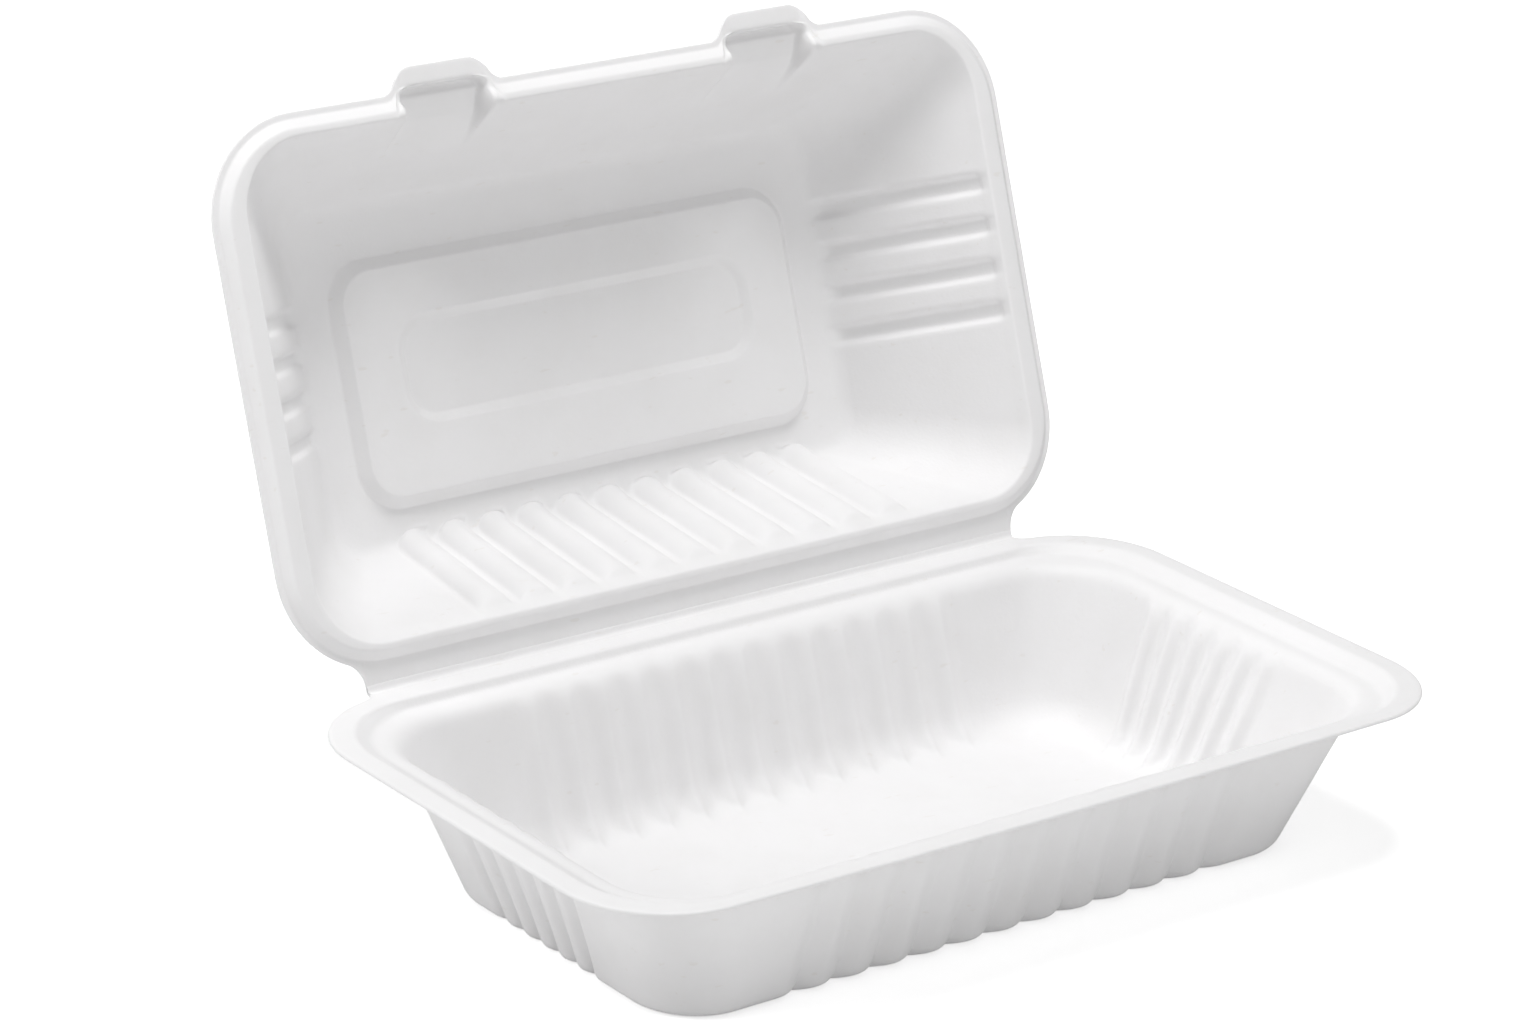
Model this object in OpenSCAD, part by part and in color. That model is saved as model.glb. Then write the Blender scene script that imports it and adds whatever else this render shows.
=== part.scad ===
// Hinged take-away box of moulded sugar cane fibre (bagasse), lid standing open.
// Millimetres. X runs along the box, Y points to the fold, Z is up.
// The origin is at the middle of the flat floor that the tray stands on.

/* [Tray] */
// length of the tray over its flange
tray_len = 230; // [200:1:260]
// width of the tray over its flange, fold strip not counted
tray_wid = 128.6; // [110:0.1:150]
// height of the tray, from the floor it stands on to the flange top
tray_h = 37.5; // [30:0.5:60]
// thickness of the tray's wall
tray_t = 1.0; // [0.6:0.05:1.4]
// corner radius of the flange
tray_corner = 25; // [15:0.5:35]
// length of the tray's foot over its flutes
foot_len = 176.5; // [160:0.5:195]
// width of the tray's foot over its flutes
foot_wid = 88; // [76:0.5:100]
// corner radius of the foot
foot_corner = 16; // [10:0.5:22]
// width of the flat flange at the two ends
flange_end = 5.4; // [4:0.1:10]
// width of the flat flange along the two long sides
flange_side = 4.3; // [3:0.1:10]
// drop from the flange to the ledge that takes the lid
step_drop = 2.2; // [1:0.1:5]
// width of the slope of that drop at the two ends
step_end = 3.9; // [0.5:0.1:6]
// width of the slope of that drop along the long sides
step_side = 1.0; // [0.5:0.1:6]
// width of the ledge
ledge = 4.3; // [2:0.1:8]
// how far the front edge of the flange bows out
front_bow = 0.75; // [0:0.05:2]

/* [Tray flutes] */
// valleys between the flutes of the rear wall
rear_valleys = 13; // [5:1:17]
// distance between valleys of the rear wall
rear_pitch = 9.6; // [7:0.1:13]
// valleys between the flutes of the front wall
front_valleys = 12; // [5:1:17]
// distance between valleys of the front wall
front_pitch = 10.4; // [7:0.1:13]
// valleys between the flutes of each end wall
end_valleys = 6; // [3:1:8]
// distance between valleys of each end wall
end_pitch = 8.4; // [6:0.1:12]
// depth of the valleys at the foot
flute_depth = 2.0; // [0.5:0.1:3]
// how far the flutes of the front wall sit to the right
front_shift = 1.2; // [-3:0.1:3]
// how far the flutes of the end walls sit towards the fold
end_shift = 3.7; // [-4:0.1:4]

/* [Fold] */
// how far the lid stands open, 0 is closed and 180 is flat
open_angle = 109.9; // [0:0.1:180]
// reach of the tray's half of the fold strip past the flange
fold_reach = 2.15; // [0.5:0.05:6]
// length of the fold strip
fold_len = 183; // [120:1:200]
// reach of the lid's half of the fold strip
strip_reach = 4.85; // [2:0.05:10]
// clearance between lid and tray at the fold and where they meet
clear = 0.3; // [0.2:0.05:0.6]

/* [Lid] */
// length of the lid over its lip
lid_len = 218.7; // [190:0.1:250]
// width of the lid over its lip, fold strip and tabs not counted
lid_wid = 122.8; // [100:0.1:145]
// depth of the lid inside, from the lip plane to its flat
lid_h = 33.2; // [20:0.5:50]
// thickness of the lid's wall
lid_t = 0.6; // [0.4:0.05:1.0]
// corner radius of the lip
lid_corner = 24; // [12:0.5:32]
// width of the lip outside the bead
lip = 1.4; // [0.5:0.1:4]
// height of the bead that drops inside the flange
bead_h = 2.2; // [1:0.1:4]
// length of the lid's flat inside
flat_len = 147; // [120:0.5:180]
// width of the lid's flat inside
flat_wid = 78; // [60:0.5:100]
// corner radius of the lid's flat
flat_corner = 9.5; // [6:0.5:20]
// distance from the lip's edge to the foot of the end walls
wall_end = 9.8; // [8.8:0.1:12]
// distance from the lip's edge to the foot of the long walls
wall_side = 7.4; // [6.6:0.1:10]

/* [Lid flutes] */
// lobes on the lid's rear wall, bulging into the box
lid_lobes = 11; // [5:1:13]
// distance between lobes of the rear wall
lid_pitch = 11.3; // [8:0.1:12]
// how far the lobes sit to the right
lobe_shift = 1.7; // [-3:0.1:3]
// depth of the lobes and grooves
ridge_h = 2.4; // [0.5:0.1:3]
// grooves pressed into each end wall of the lid
lid_grooves = 4; // [1:1:4]
// distance between grooves of the right end wall
right_pitch = 10.2; // [8:0.1:10.5]
// distance between grooves of the left end wall
left_pitch = 9.2; // [8:0.1:10.5]
// how far the grooves sit towards the front
lid_end_shift = 2.6; // [0:0.1:4]

/* [Lid panel] */
// length of the raised panel
panel_len = 123.6; // [90:0.2:136]
// width of the raised panel
panel_wid = 52; // [35:0.2:65]
// corner radius of the raised panel
panel_corner = 8; // [3:0.5:15]
// height of the raised panel, towards the inside of the box
panel_h = 2.3; // [0.5:0.1:4]
// width of the slope round the raised panel
panel_slope = 2.7; // [0.8:0.1:3.5]
// how far the panel sits towards the fold
panel_shift = 2.2; // [0:0.1:6]
// length of the sunk field in the panel
field_len = 99.4; // [60:0.2:115]
// width of the sunk field
field_wid = 25.2; // [12:0.2:40]
// corner radius of the sunk field
field_corner = 9; // [3:0.5:12]
// depth of the sunk field
field_d = 1.2; // [0.3:0.1:2]
// width of the slope round the sunk field
field_slope = 2.2; // [0.6:0.1:2.8]

/* [Tabs] */
// distance of each tab's middle from the middle of the lid
tab_x = 45; // [25:0.5:70]
// half width of a tab where it leaves the lip
tab_base = 15.6; // [10:0.1:25]
// half width of a tab's straight outer edge
tab_top = 9; // [5:0.1:18]
// reach of a tab past the lip
tab_reach = 5.7; // [3:0.1:10]
// half width of the channel that runs out through the bead
channel = 11.2; // [6:0.1:16]
// depth of that channel behind the lip plane
channel_d = 2.2; // [0.5:0.1:4]

/* [Hidden] */
tray_colour = [0.93, 0.93, 0.91];
lid_colour = [0.94, 0.94, 0.92];
hx = tray_len / 2;
hy = tray_wid / 2;
fold_y = hy + fold_reach;
lx = lid_len / 2;
ly = lid_wid / 2;
// middle of the closed lid, measured from the fold
lid_mid = strip_reach + ly;
corner_steps = 6;

// Shape of a fluted wall: 1 on the crown of a flute, 0 in a valley.
function crown(pos, count, pitch) =
    let(u = pos / pitch + (count - 1) / 2)
    (u < -0.5 || u > count - 0.5) ? 1 : pow(abs(sin(180 * u)), 0.75);

// Places along a fluted side, four to each flute.
function fluted(count, pitch) =
    let(n = 4 * count)
    [for (i = [0 : n]) -count * pitch / 2 + i * pitch / 4];

// Shape of a wall with lobes that bulge inwards: 1 is the plain wall, 0 the top of a lobe.
function lobed(pos, count, pitch) =
    let(u = pos / pitch + count / 2)
    (u < 0 || u > count) ? 1 : 1 - pow(abs(sin(180 * u)), 0.75);

// Places across a run of grooves, six to each groove.
groove_places = [-0.5, -0.25, -0.14, 0, 0.14, 0.25];
function grooved(count, pitch) =
    concat([for (i = [0 : count - 1]) for (g = groove_places) (i - (count - 1) / 2 + g) * pitch], [count * pitch / 2]);

// Shape of a wall with grooves pressed outwards: 1 is the plain wall, 2 the floor of a groove.
function groove(pos, pitch, count) =
    let(u = pos / pitch + (count - 1) / 2, off = abs(u - round(u)))
    off > 0.24 ? 1 : 2 - pow(off / 0.25, 2);

// One station round the outline: [side, place or angle, crown].
// Sides 0 to 3 are front, right, rear, left. Corners 4 to 7 follow each side.
function side_run(side, places, count, pitch, dir, shift) =
    [for (p = places) [side, dir * p + shift, crown(p, count, pitch)]];
function lobe_run(places) = [for (p = places) [2, lobe_shift - p, lobed(p, lid_lobes, lid_pitch)]];
function groove_run(side, pitch, dir) =
    [for (p = grooved(lid_grooves, pitch)) [side, dir * p, groove(p, pitch, lid_grooves)]];
function corner_run(index) =
    [for (i = [0 : corner_steps]) [4 + index, -90 + 90 * index + 90 * i / corner_steps, 1]];
// The two rear corners carry the ends of the fold strip, which ends at angle a.
function notch_angles(a) = concat([for (i = [0 : 4]) 15 * i], [a - 9, a - 4, a, (a + 90) / 2, 90]);
function notched_right(a) = [for (g = notch_angles(a)) [5, g, 1]];
function notched_left(a) = let(l = notch_angles(a), n = len(l)) [for (i = [1 : n]) [6, 180 - l[n - i], 1]];

// Edge point p of a rear corner, drawn out to the fold strip of half length half at y = far.
function strip_edge(st, p, a, half, far) =
    let(g = st[0] == 5 ? st[1] : 180 - st[1], s = st[0] == 5 ? 1 : -1)
    g > a - 0.01 ? [s * min(abs(p[0]), half), far] :
    g > a - 4.01 ? [s * (half + 0.1), p[1] + (far - p[1]) * 0.35] :
    g > a - 9.01 ? [s * (abs(p[0]) * 0.6 + (half + 0.6) * 0.4), p[1] + (far - p[1]) * 0.08] : p;

// Point of a rounded rectangle [half x, half y, radius] at a station,
// pushed in by the flute depth amp. Places are drawn together to fit short sides.
function outline(st, w, d, r, amp, far_x, far_y) =
    let(side = st[0], push = amp * (1 - st[2]),
        px = st[1] * min(1, (w - r - 0.4) / far_x), py = st[1] * min(1, (d - r - 0.4) / far_y))
    side == 0 ? [px, -d + push] :
    side == 1 ? [w - push, py] :
    side == 2 ? [px, d - push] :
    side == 3 ? [-w + push, py] :
    let(cx = (side == 4 || side == 5) ? w - r : r - w,
        cy = (side == 5 || side == 6) ? d - r : r - d)
    [cx + r * cos(st[1]), cy + r * sin(st[1])];

// Skin round a run of loops of n points, closed by a middle point at each end.
module skin(loops, first, last) {
    n = len(loops[0]);
    m = len(loops);
    points = concat([first], [for (l = loops) for (p = l) p], [last]);
    far = len(points) - 1;
    polyhedron(points = points, faces = concat(
        [for (i = [0 : n - 1]) [0, 1 + (i + 1) % n, 1 + i]],
        [for (k = [0 : m - 2]) for (i = [0 : n - 1])
            [1 + k * n + i, 1 + (k + 1) * n + (i + 1) % n, 1 + (k + 1) * n + i]],
        [for (k = [0 : m - 2]) for (i = [0 : n - 1])
            [1 + k * n + i, 1 + k * n + (i + 1) % n, 1 + (k + 1) * n + (i + 1) % n]],
        [for (i = [0 : n - 1]) [far, 1 + (m - 1) * n + i, 1 + (m - 1) * n + (i + 1) % n]]
    ), convexity = 6);
}

// Stations round the tray, anticlockwise seen from above.
tray_far_x = max(rear_valleys * rear_pitch / 2, front_valleys * front_pitch / 2 + abs(front_shift));
tray_far_y = end_valleys * end_pitch / 2 + abs(end_shift);
fold_half = fold_len / 2;
tray_notch = acos((fold_half - hx + tray_corner) / tray_corner);
tray_stations = concat(
    side_run(0, fluted(front_valleys, front_pitch), front_valleys, front_pitch, 1, front_shift),
    corner_run(0),
    side_run(1, fluted(end_valleys, end_pitch), end_valleys, end_pitch, 1, end_shift),
    notched_right(tray_notch),
    side_run(2, fluted(rear_valleys, rear_pitch), rear_valleys, rear_pitch, -1, 0),
    notched_left(tray_notch),
    side_run(3, fluted(end_valleys, end_pitch), end_valleys, end_pitch, -1, end_shift),
    corner_run(3));

// Inside of the tray from the floor to the flange edge:
// [half x, half y, z, radius, flute depth, thickness shift out, thickness shift down]
wall_foot_x = foot_len / 2 - tray_t;
wall_foot_y = foot_wid / 2 - tray_t;
ledge_x = hx - flange_end - step_end - ledge;
ledge_y = hy - flange_side - step_side - ledge;
floor_z = tray_t;
tray_profile = [
    [foot_len / 2 - 2.4, foot_wid / 2 - 2.4, floor_z, foot_corner - 2.4, 1.1, 0, 1],
    [foot_len / 2 - 1.45, foot_wid / 2 - 1.45, floor_z + 0.4, foot_corner - 1.5, 1.7, 0.72, 0.7],
    [wall_foot_x, wall_foot_y, floor_z + 1.6, foot_corner - 1, flute_depth, 0.95, 0.3],
    [(wall_foot_x + ledge_x) / 2 - 1.4, (wall_foot_y + ledge_y) / 2 - 1.4, tray_h / 2, 17, 1.7, 0.93, 0.35],
    [ledge_x - 2.6, ledge_y - 2.2, tray_h - step_drop - 2.9, 18, 1.1, 0.9, 0.4],
    [ledge_x - 1.3, ledge_y - 1.1, tray_h - step_drop - 1, 18.5, 0.5, 0.75, 0.7],
    [ledge_x, ledge_y, tray_h - step_drop - 0.2, 19.5, 0, 0.5, 0.95],
    [ledge_x + ledge, ledge_y + ledge, tray_h - step_drop, 22, 0, 0.7, 0.9],
    [hx - flange_end - 0.5, hy - flange_side - 0.3, tray_h - 0.35, 22.6, 0, 0.6, 0.95],
    [hx - flange_end, hy - flange_side, tray_h, 23, 0, 0.35, 1]
];

// Outer edge of the flange, with the bowed front and the fold strip behind.
function flange_edge(st) =
    let(p = outline(st, hx, hy, tray_corner, 0, tray_far_x, tray_far_y),
        bow = st[0] == 0 ? front_bow * (1 - pow(abs(p[0]) / (hx - tray_corner), 2)) : 0)
    st[0] == 2 ? [p[0], p[1] + fold_reach] :
    st[0] == 5 || st[0] == 6 ? strip_edge(st, p, tray_notch, fold_half, fold_y) : [p[0], p[1] - bow];

module tray() {
    inside = [for (q = tray_profile) [for (st = tray_stations)
        let(p = outline(st, q[0], q[1], q[3], q[4], tray_far_x, tray_far_y)) [p[0], p[1], q[2]]]];
    edge = [for (st = tray_stations) flange_edge(st)];
    outside = [for (k = [len(tray_profile) - 1 : -1 : 0]) let(q = tray_profile[k])
        [for (st = tray_stations)
            let(p = outline(st, q[0] + q[5] * tray_t, q[1] + q[5] * tray_t,
                q[3] + q[5] * tray_t, q[4], tray_far_x, tray_far_y))
            [p[0], p[1], q[2] - q[6] * tray_t]]];
    color(tray_colour)
        skin(concat(inside,
            [[for (p = edge) [p[0], p[1], tray_h]]],
            [[for (p = edge) [p[0], p[1], tray_h - tray_t]]],
            outside), [0, 0, floor_z], [0, 0, 0]);
}

// Stations round the lid, anticlockwise seen from above when it is closed.
lid_far_x = lid_lobes * lid_pitch / 2 + abs(lobe_shift);
lid_far_y = lid_grooves * max(left_pitch, right_pitch) / 2;
lid_notch = acos((fold_half - lx + lid_corner) / lid_corner);
tab_places = [-tab_base, -channel - 1, -channel, -tab_top, 0, tab_top, channel, channel + 1, tab_base];
lid_front = concat([for (d = tab_places) d - tab_x], [-lid_far_x / 4, lid_far_x / 4], [for (d = tab_places) d + tab_x]);
lid_stations = concat(
    [for (p = lid_front) [0, p, 1]],
    corner_run(0),
    groove_run(1, right_pitch, 1),
    notched_right(lid_notch),
    lobe_run(fluted(lid_lobes, lid_pitch)),
    notched_left(lid_notch),
    groove_run(3, left_pitch, -1),
    corner_run(3));

// Inside of the lid from the middle of its panel to the lip, heights n above
// the lip plane, which is positive away from the tray:
// [half x, half y, n, radius, ridge height, shift out, shift up, towards the fold]
wall_a = [flat_len / 2 + 0.8, flat_wid / 2 + 0.6];
wall_b = [lx - wall_end, ly - wall_side];
lid_profile = [
    [field_len / 2 - field_slope, field_wid / 2 - field_slope, lid_h - panel_h + field_d,
        field_corner - field_slope, 0, 0, 1, 0.6],
    [field_len / 2, field_wid / 2, lid_h - panel_h, field_corner, 0, 0, 1, 0.6],
    [panel_len / 2, panel_wid / 2, lid_h - panel_h, panel_corner, 0, 0.3, 1, panel_shift],
    [panel_len / 2 + panel_slope, panel_wid / 2 + panel_slope, lid_h,
        panel_corner + panel_slope, 0, 0.3, 1, panel_shift],
    [flat_len / 2 - 1.6, flat_wid / 2 - 1.2, lid_h, flat_corner - 1, 0.3, 0.3, 1, 0],
    [wall_a[0], wall_a[1], lid_h - 2.2, flat_corner + 0.5, ridge_h * 0.8, 0.75, 0.8, 0],
    [(2 * wall_a[0] + wall_b[0]) / 3, (2 * wall_a[1] + wall_b[1]) / 3, lid_h * 0.66,
        14, ridge_h, 0.88, 0.5, 0],
    [wall_b[0], wall_b[1], 1.2, 15, ridge_h * 0.5, 0.88, 0.5, 0],
    [lx - wall_end + 0.8, ly - wall_side + 0.8, -bead_h * 0.5, 15.5, ridge_h * 0.2, 0.6, 0.8, 0],
    [lx - 7.8, ly - 5.5, -bead_h, 16.5, 0, 0.1, 1, 0],
    [lx - lip - 1.9, ly - lip - 2.3, -bead_h * 0.85, 20.5, 0, -0.35, 0.95, 0],
    [lx - lip, ly - lip - 0.4, 0, lid_corner - lip, 0, -0.35, 0.95, 0]
];
// The same for the last five rings where a tab's channel runs out:
// [inset from the lip, n]
channel_profile = [
    [6.9, channel_d + 1.6],
    [5.6, channel_d + 0.3],
    [3.4, channel_d],
    [-0.4, channel_d],
    [3.1 - tab_reach, 0.9]
];
rings = len(lid_profile);

function off_tab(st) = st[0] == 0 ? abs(abs(st[1]) - tab_x) : 99;
function tab_out(off) =
    off >= tab_base - 0.01 ? 0 :
    off <= tab_top ? tab_reach : tab_reach * (1 - pow((off - tab_top) / (tab_base - tab_top), 1.6));

// Point of ring k at a station, with the skin shifted out and up by t.
// Beside a tab's channel the bead ends higher, so that the closed lid clears the flange.
function lid_point(k, st, t) =
    let(q = lid_profile[k],
        p = outline(st, q[0] + q[5] * t, q[1] + q[5] * t, max(q[3] + q[5] * t, 1), q[4], lid_far_x, lid_far_y),
        c = k - rings + len(channel_profile),
        low = k == rings - 2 && off_tab(st) < tab_base - 0.01 ? 0.15 : 1,
        move = (st[0] == 1 || st[0] == 3) && k < rings - 3 ? lid_end_shift : 0)
    c >= 0 && off_tab(st) <= channel + 0.01 ?
        [p[0], -ly + channel_profile[c][0] - (c == 4 ? 0 : 0.6 * t), channel_profile[c][1] + t] :
        [p[0], p[1] + q[7] - move * q[4] / ridge_h, q[2] * low + q[6] * t];

// Outer edge of the lip, with the tabs in front and the fold strip behind.
function lip_edge(st) =
    let(p = outline(st, lx, ly, lid_corner, 0, lid_far_x, lid_far_y), far = lid_mid - clear)
    st[0] == 2 ? [p[0], far] :
    st[0] == 5 || st[0] == 6 ? strip_edge(st, p, lid_notch, fold_half, far) : [p[0], p[1] - tab_out(off_tab(st))];

module lid() {
    outside = [for (k = [0 : rings - 1]) [for (st = lid_stations) lid_point(k, st, lid_t)]];
    inside = [for (k = [rings - 1 : -1 : 0]) [for (st = lid_stations) lid_point(k, st, 0)]];
    edge = [for (st = lid_stations) let(p = lip_edge(st)) [p[0], p[1], off_tab(st) <= tab_top ? 0.3 : 0]];
    mid_n = lid_h - panel_h + field_d;
    color(lid_colour)
        translate([0, fold_y, tray_h]) rotate([-open_angle, 0, 0]) translate([0, -lid_mid, clear])
            skin(concat(outside,
                [[for (p = edge) [p[0], p[1], p[2] + lid_t]]],
                [edge],
                inside), [0, 0.6, mid_n + lid_t], [0, 0.6, mid_n]);
}

tray();
lid();
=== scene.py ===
"""Open take-away box of moulded sugar cane fibre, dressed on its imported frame.

The box is one moulded sheet. It is built here as three pieces that share their
edges: the tray, the lid, and the fold that bends between them. Sizes in the
classes are millimetres; meshes are made in metres.
"""

import logging
import math
from dataclasses import dataclass, field
from enum import Enum

import bpy
import numpy as np
from mathutils import Matrix


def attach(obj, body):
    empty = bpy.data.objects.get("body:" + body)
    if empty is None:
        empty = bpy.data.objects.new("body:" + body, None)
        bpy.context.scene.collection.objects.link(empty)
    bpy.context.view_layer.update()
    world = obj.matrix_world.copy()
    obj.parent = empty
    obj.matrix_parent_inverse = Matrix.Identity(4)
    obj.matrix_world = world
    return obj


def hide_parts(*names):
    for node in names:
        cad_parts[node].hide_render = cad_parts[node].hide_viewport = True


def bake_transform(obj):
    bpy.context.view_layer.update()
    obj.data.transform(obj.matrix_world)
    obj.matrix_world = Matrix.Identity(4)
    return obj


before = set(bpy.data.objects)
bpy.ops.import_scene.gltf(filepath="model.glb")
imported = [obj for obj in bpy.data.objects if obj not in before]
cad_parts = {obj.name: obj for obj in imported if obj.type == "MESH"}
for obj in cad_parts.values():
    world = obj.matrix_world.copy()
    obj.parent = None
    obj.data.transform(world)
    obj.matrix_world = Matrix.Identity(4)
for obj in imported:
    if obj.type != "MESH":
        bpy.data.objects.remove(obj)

LOG = logging.getLogger("box")
MM = 0.001
# millimetres kept between the last place on a side and the start of its corner
CLEAR = 0.3
# stands for a place that is out of reach
FAR = 99.0
# upright share of its direction from which a lamp counts as hanging overhead
STEEP = 0.99
# angles round the soft edge that closes a sheet
EDGE_ANGLES = (30.0, 60.0, 90.0, 120.0, 150.0)


class Side(Enum):
    """Where a station lies on an outline, seen from above with the fold behind."""

    FRONT = 0
    RIGHT = 1
    REAR = 2
    LEFT = 3
    FRONT_RIGHT = 4
    REAR_RIGHT = 5
    REAR_LEFT = 6
    FRONT_LEFT = 7


STRAIGHT = (Side.FRONT, Side.RIGHT, Side.REAR, Side.LEFT)


def lies_on(side: np.ndarray, *kinds: Side) -> np.ndarray:
    """Which stations lie on one of the given sides or corners."""
    return np.isin(side, [kind.value for kind in kinds])


class Sock:
    """A shader socket that can be written into expressions on numbers."""

    def __init__(self, graph: "Graph", socket: bpy.types.NodeSocket) -> None:
        """Keeps the socket and the graph that it belongs to.

        Args:
            graph: Graph that new nodes are added to.
            socket: Output socket of a node.
        """
        self.graph = graph
        self.socket = socket

    def _math(self, operation: str, *values: "Sock | float") -> "Sock":
        """Adds one Math node.

        Args:
            operation: Name of the Math node's operation.
            values: Its inputs in order.

        Returns:
            The node's result.
        """
        return self.graph.node("ShaderNodeMath", {"operation": operation}, dict(enumerate(values)))

    def __add__(self, other: "Sock | float") -> "Sock":
        """Sum."""
        return self._math("ADD", self, other)

    def __radd__(self, other: float) -> "Sock":
        """Sum with a number on the left."""
        return self._math("ADD", other, self)

    def __sub__(self, other: "Sock | float") -> "Sock":
        """Difference."""
        return self._math("SUBTRACT", self, other)

    def __rsub__(self, other: float) -> "Sock":
        """Difference from a number on the left."""
        return self._math("SUBTRACT", other, self)

    def __mul__(self, other: "Sock | float") -> "Sock":
        """Product."""
        return self._math("MULTIPLY", self, other)

    def __rmul__(self, other: float) -> "Sock":
        """Product with a number on the left."""
        return self._math("MULTIPLY", other, self)

    def smooth(self, low: float, high: float) -> "Sock":
        """Smooth step from 0 at low to 1 at high.

        Args:
            low: Value that gives 0.
            high: Value that gives 1.

        Returns:
            The step.
        """
        return self.graph.node(
            "ShaderNodeMapRange",
            {"interpolation_type": "SMOOTHSTEP"},
            {"Value": self, "From Min": low, "From Max": high},
        )


class Graph:
    """Node tree of one material or world, filled through one method."""

    def __init__(self, tree: bpy.types.NodeTree) -> None:
        """Empties the tree.

        Args:
            tree: Node tree to fill.
        """
        self.tree = tree
        tree.nodes.clear()

    def node(self, kind: str, settings: dict, inputs: dict, output: str | int = 0) -> Sock:
        """Adds a node.

        Args:
            kind: Node type.
            settings: Attributes that are set before the sockets.
            inputs: Socket name or number to a value or a link.
            output: Name or number of the output to give back.

        Returns:
            The chosen output, or None where there is none.
        """
        made = self.tree.nodes.new(kind)
        for name, value in settings.items():
            setattr(made, name, value)
        for name, value in inputs.items():
            if isinstance(value, Sock):
                self.tree.links.new(value.socket, made.inputs[name])
            else:
                made.inputs[name].default_value = value
        return Sock(self, made.outputs[output]) if made.outputs else None

    def place(self, stretch: tuple[float, float, float] = (1.0, 1.0, 1.0)) -> Sock:
        """Object coordinates, stretched along the axes.

        Args:
            stretch: Factor for each axis.

        Returns:
            The coordinates.
        """
        spot = self.node("ShaderNodeTexCoord", {}, {}, "Object")
        return self.node("ShaderNodeMapping", {}, {"Vector": spot, "Scale": stretch})

    def noise(self, spot: Sock, scale: float, detail: float = 2.0, rough: float = 0.5) -> Sock:
        """Noise from 0 to 1.

        Args:
            spot: Coordinates.
            scale: Grains to the metre.
            detail: Octaves.
            rough: Weight of the finer octaves.

        Returns:
            The noise.
        """
        return self.node(
            "ShaderNodeTexNoise", {}, {"Vector": spot, "Scale": scale, "Detail": detail, "Roughness": rough}
        )

    def tint(self, amount: Sock, plain: "tuple | Sock", mixed: tuple) -> Sock:
        """Mixes two colours.

        Args:
            amount: Share of the second colour.
            plain: First colour.
            mixed: Second colour.

        Returns:
            The colour.
        """
        return self.node("ShaderNodeMix", {"data_type": "RGBA"}, {0: amount, 6: plain, 7: mixed}, 2)


@dataclass(frozen=True)
class MouldedFibre:
    """Pressed, bleached sugar cane fibre: matt, softly mottled, with fine fibres."""

    name: str
    colour: tuple[float, float, float] = (0.865, 0.860, 0.864)
    cloud: tuple[float, float, float] = (0.842, 0.835, 0.835)
    fleck: tuple[float, float, float] = (0.72, 0.68, 0.62)
    roughness: float = 0.55
    relief: float = 0.35
    relief_depth: float = 0.00018
    cloud_scale: float = 70.0
    grain_scale: float = 900.0
    fibre_scale: float = 1700.0
    fleck_scale: float = 620.0
    cloud_share: float = 0.6
    fleck_share: float = 0.22

    def build(self) -> bpy.types.Material:
        """Makes the material.

        Returns:
            The finished material.
        """
        material = bpy.data.materials.new(self.name)
        material.use_nodes = True
        graph = Graph(material.node_tree)
        plain = graph.place()
        lengthways = graph.place((0.35, 1.0, 1.0))
        across = graph.place((1.0, 0.35, 0.6))
        cloud = graph.noise(plain, self.cloud_scale, 3.0, 0.6).smooth(0.35, 0.75)
        grain = graph.noise(plain, self.grain_scale, 3.0, 0.6)
        fibres = (
            graph.noise(lengthways, self.fibre_scale, 2.0, 0.55) * 0.5
            + graph.noise(across, self.fibre_scale, 2.0, 0.55) * 0.5
        )
        flecks = graph.noise(lengthways, self.fleck_scale, 1.0, 0.4).smooth(0.72, 0.80)
        colour = graph.tint(cloud * self.cloud_share, (*self.colour, 1.0), (*self.cloud, 1.0))
        colour = graph.tint(flecks * self.fleck_share, colour, (*self.fleck, 1.0))
        height = grain * 0.5 + fibres * 0.7 + cloud * 0.25
        bump = graph.node(
            "ShaderNodeBump", {},
            {"Strength": self.relief, "Distance": self.relief_depth, "Height": height},
        )
        graph.node("ShaderNodeOutputMaterial", {}, {"Surface": graph.node(
            "ShaderNodeBsdfPrincipled",
            {},
            {
                "Base Color": colour,
                "Roughness": grain * 0.16 + (self.roughness - 0.08),
                "Normal": bump,
                "Specular IOR Level": 0.35,
            },
        )})
        return material


@dataclass(frozen=True)
class PaleFloor:
    """Plain floor that looks white to the camera and keeps the shadow."""

    name: str = "floor_white"
    tone: float = 0.88
    seen_tone: float = 0.86
    lift: float = 0.55

    def build(self) -> bpy.types.Material:
        """Makes the material.

        Returns:
            The finished material.
        """
        material = bpy.data.materials.new(self.name)
        material.use_nodes = True
        graph = Graph(material.node_tree)
        seen = graph.node("ShaderNodeLightPath", {}, {}, "Is Camera Ray")
        colour = graph.tint(seen, (*[self.tone] * 3, 1.0), (*[self.seen_tone] * 3, 1.0))
        graph.node("ShaderNodeOutputMaterial", {}, {"Surface": graph.node(
            "ShaderNodeBsdfPrincipled",
            {},
            {
                "Base Color": colour,
                "Roughness": 0.9,
                "Specular IOR Level": 0.0,
                "Emission Color": (1.0, 1.0, 1.0, 1.0),
                "Emission Strength": seen * self.lift,
            },
        )})
        return material


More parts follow.
